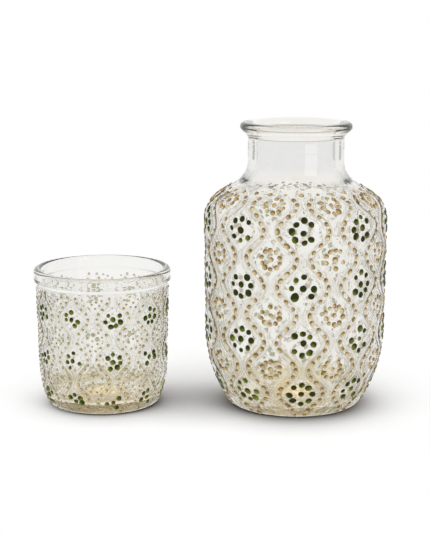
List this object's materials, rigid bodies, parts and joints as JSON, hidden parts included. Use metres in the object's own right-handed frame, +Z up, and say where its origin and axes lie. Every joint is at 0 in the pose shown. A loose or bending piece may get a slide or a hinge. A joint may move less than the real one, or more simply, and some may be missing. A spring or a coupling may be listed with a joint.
{
  "type": "bedside carafe with tumbler",
  "caption": "Clear pressed-glass carafe with a straight neck and rolled lip, beside a collared tumbler that can cap it, both set with green and gold enamel drops in a wavy lattice.",
  "frame": {"origin": "centre of the carafe's foot, on the table", "axes": "+Z up along the carafe's axis and out of its mouth; +X from the tumbler to the carafe; -Y faces the viewer"},
  "size_m": [0.2237, 0.1154, 0.18],
  "materials": {
    "clear_glass": "clear, fire polished",
    "green_enamel": "glossy translucent enamel",
    "gold_enamel": "glossy gold enamel"
  },
  "bodies": {
    "carafe": {"carafe_glass": "clear_glass", "carafe_green_row_1": "green_enamel", "carafe_green_row_2": "green_enamel", "carafe_green_row_3": "green_enamel", "carafe_green_row_4": "green_enamel", "carafe_gold_row_1": "gold_enamel", "carafe_gold_row_2": "gold_enamel", "carafe_gold_row_3": "gold_enamel", "carafe_gold_row_4": "gold_enamel", "carafe_line_drops_1": "gold_enamel", "carafe_line_drops_2": "gold_enamel", "carafe_line_drops_3": "gold_enamel", "carafe_line_drops_4": "gold_enamel", "carafe_line_drops_5": "gold_enamel", "carafe_shoulder_ring": "gold_enamel"},
    "tumbler": {"tumbler_glass": "clear_glass", "tumbler_green_row_1": "green_enamel", "tumbler_green_row_2": "green_enamel", "tumbler_green_row_3": "green_enamel", "tumbler_gold_row_1": "gold_enamel", "tumbler_gold_row_2": "gold_enamel", "tumbler_gold_row_3": "gold_enamel", "tumbler_line_drops_1": "gold_enamel", "tumbler_line_drops_2": "gold_enamel", "tumbler_line_drops_3": "gold_enamel", "tumbler_line_drops_4": "gold_enamel"}
  },
  "joints": [
    {"name": "tumbler_lift", "type": "slide", "parent": "carafe", "child": "tumbler", "axis": [0, 0, 1], "range_m": [0, 0.2]}
  ]
}
